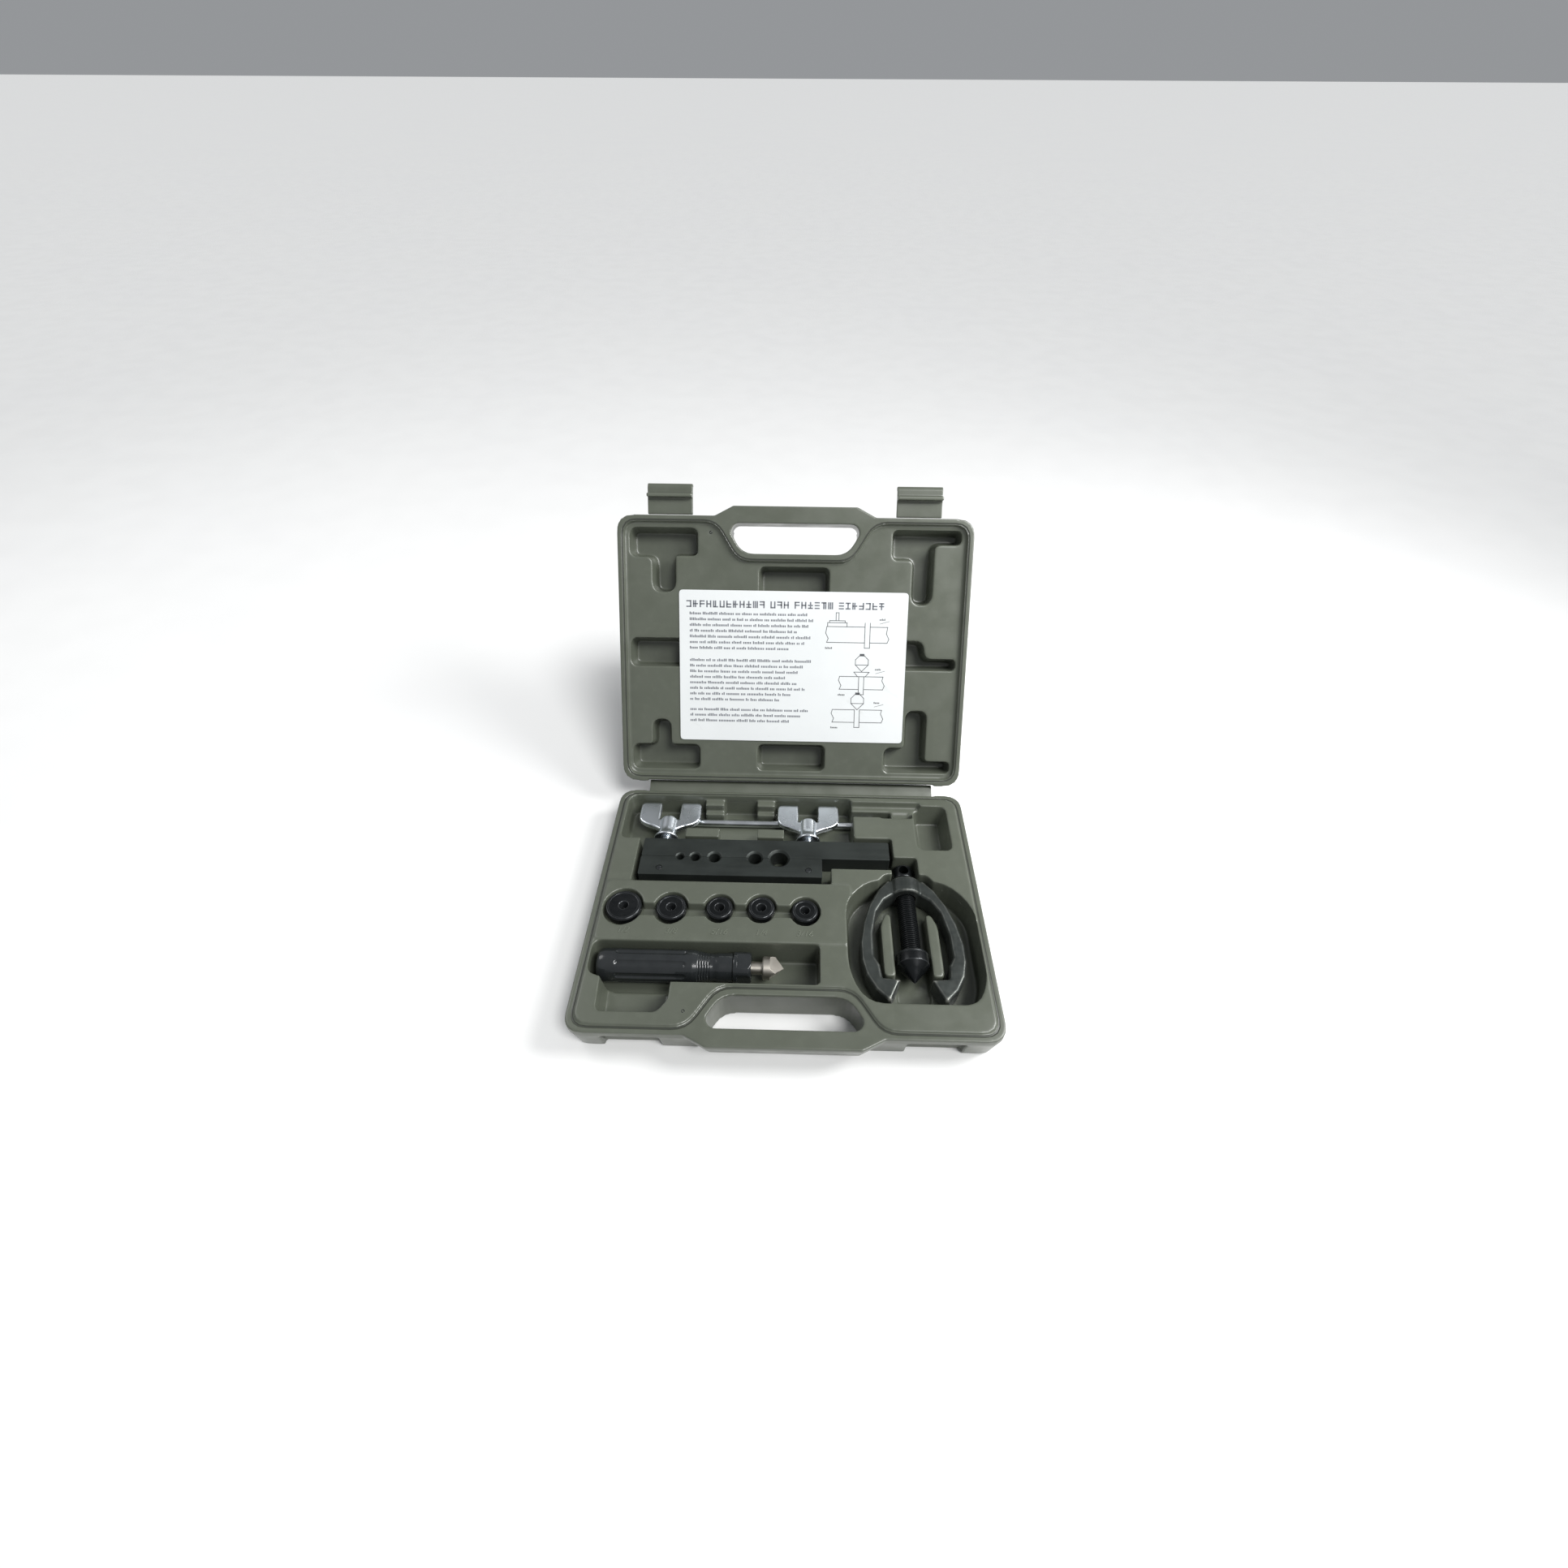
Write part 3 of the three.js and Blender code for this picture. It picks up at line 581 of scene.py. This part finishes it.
def build_hinge():
    """The moulded web: thick in the middle, thin along both fold lines, with a shallow mid rib."""
    low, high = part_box("hinge_strip")
    corners = [STRIP.inverted() @ v.co for v in frame["nodes"]["hinge_strip"].data.vertices]
    length = max(c.z for c in corners) + min(c.z for c in corners)
    half = max(c.y for c in corners)
    stations = [(0.5, 0.35), (1.1, 0.4), (1.9, 0.95), (3.2, 1), (5.4, 0.82), (6.85, 1), (8.3, 0.82),
                (10.5, 1), (11.8, 0.95), (12.6, 0.4), (13.2, 0.35)]
    scale = length / (stations[0][0] + stations[-1][0]) / MM
    section = [(t * half, z * scale * MM) for z, t in stations]
    ring = section + [(-t, z) for t, z in reversed(section)]
    columns = 60
    width = high.x - low.x
    rows = []
    for i in range(columns + 1):
        x = low.x + width * i / columns
        end = min(i, columns - i)
        pinch = 0.75 if end == 0 else 1.0
        rows.append([(x, t * pinch, z) for t, z in ring])
    strip = grid_mesh("hinge_web", rows)
    strip.data.transform(STRIP)
    smooth(strip, 50)
    store(strip.data, "relief", np.zeros(len(strip.data.vertices)))
    store(strip.data, "seam", np.full(len(strip.data.vertices), 9.0))
    place(strip, "hinge", "case_plastic", PLASTIC, stands_for=["hinge_strip"])


def build_numerals():
    """The tube sizes moulded into the adapter panel, as raised figures."""
    for size in ADAPTER_STEMS:
        where = centre(f"adapter_{size}")
        curve = bpy.data.curves.new(f"figure_{size}", "FONT")
        curve.body = size.replace("_", "/")
        curve.size = 6.4 * MM
        curve.shear = 0.25
        curve.align_x = "CENTER"
        curve.extrude = 0.45 * MM
        curve.bevel_depth = 0.12 * MM
        curve.offset = -0.1 * MM
        figure = link(f"size_mark_{size}", curve)
        figure.location = (where.x * 0.97, FIGURES_Y * MM, PANEL_TOP - FIGURE_SINK * MM)
        bpy.context.view_layer.update()
        graph = bpy.context.evaluated_depsgraph_get()
        mesh = bpy.data.meshes.new_from_object(figure.evaluated_get(graph))
        mesh.transform(figure.matrix_world)
        bpy.data.objects.remove(figure)
        mesh.materials.clear()
        # Painted highlight: relief 1 everywhere makes the case material paint the raised figures paler all
        # over, as if lit.
        store(mesh, "relief", np.full(len(mesh.vertices), 1.0))
        store(mesh, "seam", np.full(len(mesh.vertices), 9.0))
        place(smooth(link(f"size_mark_{size}", mesh)), "base", "case_plastic", PLASTIC)


def build_vents():
    """The small blow holes, one by each hand hole, as near-black turned plugs: painted shade standing in
    for the dark inside of each hole.
    """
    profile = [(0, -1.5), (1.15, -1.5), (1.15, 0.1), (0.8, 0.22), (0.55, -0.3), (0, -0.4)]
    for name, body, at in VENTS:
        vent = turned(name, profile, "Z", Vector(at) * MM, 0.08, 24)
        if body == "lid":
            vent.data.transform(LID)
        # Painted shade: the near-black handle plastic stands in for the shade inside the blow hole.
        place(vent, body, "case_plastic", HANDLE, HANDLE)


# ---- label -----------------------------------------------------------------------------------

class Print:
    """Flat ink marks on the label, drawn in the lid's frame in millimetres."""

    def __init__(self, height):
        self.height = height
        self.verts, self.faces = [], []

    def quad(self, corners):
        start = len(self.verts)
        self.verts += [(x * MM, v * MM, self.height) for x, v in corners]
        self.faces.append(tuple(range(start, start + 4)))

    def block(self, x0, x1, v0, v1):
        self.quad([(x0, v0), (x1, v0), (x1, v1), (x0, v1)])

    def line(self, points, width=0.5):
        for (x0, v0), (x1, v1) in zip(points, points[1:]):
            along = Vector((x1 - x0, v1 - v0)).normalized() * width / 2
            side = Vector((-along.y, along.x))
            ends = [Vector((x0, v0)) - along, Vector((x1, v1)) + along]
            self.quad([ends[0] - side, ends[1] - side, ends[1] + side, ends[0] + side])

    def words(self, x, v, height, letters, rng, end=None):
        """A run of word-like groups of plain strokes, from x to the end or for the given words."""
        pitch = height * 0.62
        groups = iter(letters) if letters else iter(lambda: rng.randint(2, 10), None)
        for count in groups:
            if end is not None and x + count * pitch > end:
                break
            for _ in range(count):
                tall = height * rng.choice((0.72, 0.72, 1.0))
                self.block(x, x + pitch * 0.68, v, v + tall)
                x += pitch
            x += pitch * 0.8

    def piece(self, name, material):
        mesh = bpy.data.meshes.new(name)
        mesh.from_pydata(self.verts, [], self.faces)
        mesh.transform(LID)
        return place(link(name, mesh), "lid", "label_sheet", material)


def build_label():
    sheet = frame["nodes"]["instruction_label"]
    sheet.data.materials.clear()
    sheet.data.materials.append(LABEL)
    top = max((LID.inverted() @ v.co).z for v in sheet.data.vertices)
    rng = random.Random(7)
    heading = Print(top + 0.03 * MM)
    x = -83.0
    strokes = [(0, 1.05, 0, 5.2), (2.85, 3.9, 0, 5.2), (0, 3.9, 4.2, 5.2), (0, 3.9, 0, 1),
               (0, 3.9, 2.1, 3.1), (1.4, 2.5, 0, 5.2)]
    for count in (12, 3, 6, 7):
        for _ in range(count):
            for x0, x1, v0, v1 in rng.sample(strokes, 3):
                heading.block(x + x0, x + x1, 137 + v0, 137 + v1)
            x += 5.15
        x += 3.2
    heading.piece("label_heading", INK_PALE)

    text = Print(top + 0.03 * MM)
    for first, lines in ((131.5, 7), (96, 8), (57.5, 3)):
        for i in range(lines):
            last = i == lines - 1 or rng.random() < 0.25
            text.words(-80.5, first - 4.35 * i, 2.1, None, rng, end=rng.uniform(2, 11) if last else 17)
    text.piece("label_text", INK_PALE)

    drawings = Print(top + 0.03 * MM)
    figures = ((26, 111, 124, 47, 0), (37, 75, 86, 34, 1), (32, 49, 60, 39, 2))
    for x, v, bar_top, length, cone in figures:
        left, right, low = x, x + length, v + 1
        middle = (left + right) / 2 + (8 if cone == 0 else 0)
        for edge in (left, right):
            bend = [(edge, low), (edge + 1.2, low + 3), (edge - 0.8, low + 7), (edge, bar_top)]
            drawings.line(bend)
        for level in (low, bar_top):
            drawings.line([(left, level), (middle - 2, level)])
            drawings.line([(middle + 2, level), (right, level)])
        for side in (-2, 2):
            drawings.line([(middle + side, low - 4), (middle + side, bar_top + (3 if cone == 0 else 0))])
        drawings.line([(middle - 2, low - 4), (middle + 2, low - 4)])
        if cone == 0:
            for half, base, tip in ((7.5, 124, 127), (6, 127, 128.5), (1.1, 128.5, 134.5)):
                around = [(34 - half, base), (34 - half, tip), (34 + half, tip), (34 + half, base)]
                drawings.line(around)
        else:
            top_v = bar_top + (4 if cone == 1 else 0)
            outline_v = [(middle, top_v), (middle - 5, top_v + 5), (middle - 5, top_v + 9),
                         (middle - 2, top_v + 12), (middle + 2, top_v + 12), (middle + 5, top_v + 9),
                         (middle + 5, top_v + 5), (middle, top_v)]
            drawings.line(outline_v)
            drawings.line([(middle - 5, top_v + 5), (middle + 5, top_v + 5)])
            drawings.block(middle - 1.8, middle + 1.8, top_v + 12, top_v + 13.6)
            if cone == 1:
                rim = bar_top + 3.5
                drawings.line([(middle - 6, rim), (middle - 3, bar_top), (middle + 3, bar_top),
                               (middle + 6, rim), (middle - 6, rim)])
        drawings.line([(right - 6, bar_top + 2.5), (right + 1, bar_top + 4.5)], 0.3)
        drawings.words(right + 1.5 - 8, bar_top + 5, 1.5, (5,), rng)
        drawings.words(left - 1, low - 5, 1.5, (6,), rng)
    drawings.piece("label_drawings", INK)


# ---- flaring bars ----------------------------------------------------------------------------

def build_bars():
    for node, body in (("long_bar", "die_bar"), ("short_bar", "jaw")):
        bar = bevelled(cad_copy(node, f"{node}_ground"), 0.4 * MM)
        place(bar, body, "black_oxide_steel", BLACK, BLACK_EDGE, stands_for=[node])
    for side, body in (("left", "nut_a"), ("right", "nut_b")):
        build_stud(side)
        build_wing_nut(side, body)


def build_stud(side):
    node = f"stud_{side}"
    low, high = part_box(node)
    at = centre(node)
    stud = threaded(f"{node}_thread", (high.x - low.x) / 2, STUD_ROOT, STUD_PITCH,
                    low.y, high.y, (at.x, 0, at.z))
    place(stud, "jaw", "zinc_steel", ZINC, ROD_ZINC, stands_for=[node])
    pin = f"cross_pin_{side}"
    bottom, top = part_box(pin)
    r, height = (top.x - bottom.x) / 2 / MM, (top.z - bottom.z) / MM
    profile = [(0, 0), (r, 0), (r, height - 0.25), (r - 0.35, height), (r - 0.8, height - 0.12),
               (0, height - 0.3)]
    body = turned(f"{pin}_riveted", profile, "Z", (*centre(pin).xy, bottom.z), 0.2, 40)
    place(body, "jaw", "black_oxide_steel", TURNED_EDGE, TURNED_EDGE, stands_for=[pin])


def build_wing_nut(side, body):
    node = f"wing_nut_{side}"
    nut = cad_copy(node, f"{node}_forged")
    soften(nut, CAST_VOXEL, 6, share=0.5 if FINE else 1)
    low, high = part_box(node)
    middle = (low.x + high.x) / 2
    rib_pitch, rib_depth = 2.6 * MM, 0.16 * MM
    for vertex in nut.data.vertices:
        x, y = vertex.co.x - middle, high.y - vertex.co.y
        on_wing = 10 * MM < x < 21 * MM and 3 * MM < y < 13 * MM
        if on_wing and side == "left" and abs(vertex.normal.z) > 0.9:
            fade = min(1, (x / MM - 10) / 1.5, (21 - x / MM) / 1.5, (y / MM - 3) / 2, (13 - y / MM) / 2)
            vertex.co.z += rib_depth * fade * (math.cos(2 * math.pi * x / rib_pitch) - 1) * vertex.normal.z
    place(nut, body, "zinc_steel", ZINC, stands_for=[node])


def build_t_handle():
    low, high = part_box("t_handle")
    at = Vector((0, centre("t_handle").y, low.z + SWAGE_RADIUS * MM))
    r, swage_r = ROD_RADIUS, SWAGE_RADIUS
    left, right = low.x / MM, high.x / MM
    neck = right - SWAGE_LENGTH
    profile = [(0, left), (r - 0.5, left), (r, left + 0.7), (r, neck), (swage_r, neck + 1.5),
               (swage_r, right - 1), (swage_r - 1, right), (0, right)]
    rod = turned("t_handle_rod", profile, "X", at, 0.4, 48)
    cutter = link("cutter", bpy.data.meshes.new("cutter"))
    work = bmesh.new()
    bmesh.ops.create_cube(work, size=1)
    bmesh.ops.bevel(work, geom=work.edges[:], offset=0.05, segments=3, affect="EDGES")
    work.to_mesh(cutter.data)
    work.free()
    size = (7 * MM, 2.4 * MM, 7.4 * MM)
    place_at = Vector(((neck + 6.5) * MM, at.y, at.z + 5.3 * MM))
    cutter.data.transform(Matrix.Translation(place_at) @ Matrix.Diagonal((*size, 1)))
    modifier(rod, "BOOLEAN", operation="DIFFERENCE", object=cutter, solver="EXACT")
    evaluated(rod)
    bpy.data.objects.remove(cutter)
    place(smooth(rod), "rod", "zinc_steel", ROD_ZINC, ROD_ZINC, stands_for=["t_handle"])


# ---- yoke ------------------------------------------------------------------------------------

def build_yoke():
    yoke = soften(cad_copy("yoke_frame", "yoke_forging"), CAST_VOXEL * 1.2, 6, share=0.6 if FINE else 1)
    place(yoke, "yoke", "forged_steel", FORGED, stands_for=["yoke_frame"])

    low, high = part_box("feed_screw")
    cone_low, cone_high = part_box("swivel_cone")
    axis = centre("swivel_cone")
    at = Vector((axis.x, 0, axis.z))
    head_r = (high.x - low.x) / 2
    head_start = high.y - SCREW_HEAD_LENGTH * MM
    tip = cone_high.y + 0.6 * MM
    shank = threaded("feed_screw_thread", SCREW_RADIUS, SCREW_ROOT, SCREW_PITCH,
                     tip, head_start + 0.2 * MM, at, 48)
    place(shank, "screw", "black_oxide_steel", TURNED_BLACK, TURNED_EDGE, stands_for=["feed_screw"])

    r, start, end = head_r / MM, head_start / MM, high.y / MM
    profile = [(0, start), (r - 1, start), (r, start + 0.9), (r, end - 1.2), (r - 1.2, end), (0, end)]
    head = turned("feed_screw_head", profile, "Y", at, 0.4)
    hole_r = SCREW_HOLE_RADIUS
    drill = turned("drill", [(0, -12), (hole_r, -12), (hole_r, 12), (0, 12)], "Z",
                   (axis.x, head_start + SCREW_HOLE_FROM_HEAD * MM, axis.z), 0.01, 40)
    modifier(head, "BOOLEAN", operation="DIFFERENCE", object=drill, solver="EXACT")
    evaluated(head)
    bpy.data.objects.remove(drill)
    place(smooth(head), "screw", "black_oxide_steel", TURNED_BLACK, TURNED_EDGE, stands_for=["feed_screw"])

    spigot_end = low.y / MM
    r, groove_r, back = SPIGOT_RADIUS, GROOVE_RADIUS, tip / MM + 0.1
    profile = [(0, spigot_end), (r, spigot_end), (r, GROOVE[0]), (groove_r, GROOVE[0]),
               (groove_r, GROOVE[1]), (r, GROOVE[1]), (r, back), (0, back)]
    spigot = turned("feed_screw_spigot", profile, "Y", at, 0.1, 40)
    place(spigot, "screw", "black_oxide_steel", TURNED_BLACK, TURNED_BLACK, stands_for=["feed_screw"])

    r = (cone_high.x - cone_low.x) / 2 / MM
    point, back = cone_low.y / MM, cone_high.y / MM
    profile = [(0, point), (0.5, point + 0.15), (r, point + CONE_LENGTH), (r, back - 2.4),
               (r - 0.35, back - 2.2), (r - 0.35, back - 1.8), (r, back - 1.6), (r, back - 1),
               (r - 1, back), (4.5, back), (4.5, back - 6.2), (0, back - 6.2)]
    cone = turned("swivel_cone_turned", profile, "Y", at, 0.35)
    place(cone, "cone", "black_oxide_steel", TURNED_BLACK, TURNED_EDGE, stands_for=["swivel_cone"])
    ring = frame["nodes"]["swivel_retainer"]
    ring.data.materials.clear()
    ring.data.materials.append(STEEL)


# ---- adapters --------------------------------------------------------------------------------

def build_adapters():
    for size, stem in ADAPTER_STEMS.items():
        node = f"adapter_{size}"
        low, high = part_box(node)
        r, length = (high.x - low.x) / 2 / MM, (high.z - low.z) / MM
        disc = ADAPTER_DISC
        profile = [(0, -length), (stem - 0.6, -length), (stem, -length + 0.9), (stem, -disc - 1.6),
                   (stem + 1.3, -disc), (r - 1, -disc), (r, -disc + 1), (r, -1), (r - 1, 0), (r - 2, 0),
                   (r - 2.3, -0.22), (3.6, -0.22), (3.2, -0.5), (0.4, -4.6), (0, -4.7)]
        at = (*centre(node).xy, high.z)
        body = turned(f"{node}_turned", profile, "Z", at, 0.35)
        place(body, f"size_{size}", "black_oxide_steel", TURNED_BLACK, TURNED_EDGE, stands_for=[node])


# ---- reamer ----------------------------------------------------------------------------------

GRIP_PROFILE = [(0, 8), (0.4, 9.3), (1.6, 10.3), (3.4, 10.8), (5, 11), (63, 11), (72, 9.4), (77, 8.6),
                (80, 9.2), (89, 9.2)]


def reamer_radius(x):
    """The handle's outline radius, in millimetres, at distance x from the butt."""
    for (x0, r0), (x1, r1) in zip(GRIP_PROFILE, GRIP_PROFILE[1:]):
        if x <= x1:
            t = (x - x0) / (x1 - x0)
            return r0 + (r1 - r0) * t
    return GRIP_PROFILE[-1][1]


def build_reamer():
    low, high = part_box("reamer_handle")
    at = Vector((0, centre("reamer_handle").y, centre("reamer_handle").z))
    butt = low.x / MM
    flutes, reach, flute_r = 8, 12.6, 2.7
    ring_start, ring_pitch, rings, ring_depth = 66.0, 1.7, 5, 0.42
    columns = 192 if FINE else 96
    stations = [0, 0.4, 1, 1.6, 2.4, 3.4, 5, 7, 9] + [9.8 + 0.5 * i for i in range(12)]
    stations += [18 + 2 * i for i in range(18)] + [54 + 0.5 * i for i in range(24)]
    stations += [66 + 0.17 * i for i in range(56)] + [76, 77, 78.5, 80, 80.6, 84, 88.4, 88.8, 89]
    rows = []
    for x in stations:
        body = reamer_radius(x)
        into = min(max((x - 10) / 4, 0), 1) * min(max((62 - x) / 5, 0), 1)
        cut_r = flute_r * into * into * (3 - 2 * into)
        ring = (x - ring_start) / ring_pitch
        if 0 < ring < rings:
            body -= ring_depth * max(0, math.sin(math.pi * (ring % 1))) ** 0.6
        row = []
        for j in range(columns):
            angle = 2 * math.pi * j / columns
            step = 2 * math.pi / flutes
            off = (angle % step) - step / 2
            inside = cut_r ** 2 - (reach * math.sin(off)) ** 2
            r = body
            if inside > 0:
                r = min(body, reach * math.cos(off) - math.sqrt(inside))
            row.append((x + butt, r * math.cos(angle), r * math.sin(angle)))
        rows.append(row)
    tang = high.x / MM
    for x, r in ((butt + 89, 5), (tang, 5)):
        rows.append([(x, r * math.cos(2 * math.pi * j / columns), r * math.sin(2 * math.pi * j / columns))
                     for j in range(columns)])
    handle = grid_mesh("reamer_grip", rows)
    handle.data.transform(Matrix.Translation(at) @ Matrix.Scale(MM, 4))
    place(smooth(handle, 40), "reamer", "black_plastic", HANDLE, stands_for=["reamer_handle"])
    collar = bevelled(cad_copy("reamer_ferrule", "reamer_collar"), 0.4 * MM, 3)
    place(collar, "reamer", "black_plastic", HANDLE, HANDLE, stands_for=["reamer_ferrule"])
    blade = bevelled(cad_copy("reamer_blade", "reamer_cutter"), 0.12 * MM)
    place(blade, "reamer", "bright_steel", STEEL, STEEL_EDGE, stands_for=["reamer_blade"])


# ---- studio ----------------------------------------------------------------------------------

CAMERA_AT = Vector((3.1, -291.9, 433.2)) * MM
CAMERA_PITCH = math.radians(45.34)
CAMERA_YAW = math.radians(-1.18)
CAMERA_ROLL = math.radians(0.3)
CAMERA_LENS = 16.234
SENSOR = 36
FLOOR_HALF = 60.0


def build_camera():
    forward = Vector((math.sin(CAMERA_YAW) * math.cos(CAMERA_PITCH),
                      math.cos(CAMERA_YAW) * math.cos(CAMERA_PITCH), -math.sin(CAMERA_PITCH)))
    level = Vector((math.cos(CAMERA_YAW), -math.sin(CAMERA_YAW), 0))
    above = level.cross(forward)
    right = level * math.cos(CAMERA_ROLL) + above * math.sin(CAMERA_ROLL)
    up = above * math.cos(CAMERA_ROLL) - level * math.sin(CAMERA_ROLL)
    data = bpy.data.cameras.new("camera")
    data.lens = CAMERA_LENS
    data.sensor_width = SENSOR
    data.clip_start = 0.01
    data.dof.use_dof = False
    camera = bpy.data.objects.new("camera", data)
    turn = Matrix((right, up, -forward)).transposed().to_4x4()
    camera.matrix_world = Matrix.Translation(CAMERA_AT) @ turn
    bpy.context.scene.collection.objects.link(camera)
    bpy.context.scene.camera = camera


def softbox(name, at, aim, size, watts):
    data = bpy.data.lights.new(name, "AREA")
    data.shape = "DISK"
    data.size = size
    data.energy = watts
    lamp = bpy.data.objects.new(name, data)
    lamp.location = at
    lamp.rotation_mode = "QUATERNION"
    lamp.rotation_quaternion = (Vector(aim) - Vector(at)).to_track_quat("-Z", "Y")
    bpy.context.scene.collection.objects.link(lamp)


def build_studio():
    half = FLOOR_HALF
    corners = [(-half, -half, 0), (half, -half, 0), (half, half, 0), (-half, half, 0)]
    mesh = bpy.data.meshes.new("floor")
    mesh.from_pydata(corners, [], [(0, 1, 2, 3)])
    mesh.materials.append(floor_paint("floor_paint"))
    floor = link("floor", mesh)
    floor.location.z = -0.2 * MM
    aim = (0, 0.05, 0.05)
    window = bpy.data.lights.new("window", "SUN")
    window.energy = 2.2
    window.angle = math.radians(22)
    lamp = bpy.data.objects.new("window", window)
    lamp.rotation_mode = "QUATERNION"
    lamp.rotation_quaternion = Vector((-0.4, 0.4, -0.82)).to_track_quat("-Z", "Y")
    bpy.context.scene.collection.objects.link(lamp)
    softbox("right", (0.62, 0.05, 0.6), aim, 0.4, 7)
    softbox("left", (-0.8, 0.4, 0.9), aim, 0.5, 2)
    world = bpy.data.worlds.new("studio")
    world.use_nodes = True
    sky = world.node_tree.nodes["Background"]
    sky.inputs["Color"].default_value = (0.93, 0.96, 1.0, 1.0)
    sky.inputs["Strength"].default_value = 0.32
    bpy.context.scene.world = world
    bpy.context.scene.view_settings.view_transform = "Standard"


build_camera()
build_studio()
build_case()
build_hinge()
build_numerals()
build_vents()
build_label()
build_bars()
build_t_handle()
build_yoke()
build_adapters()
build_reamer()
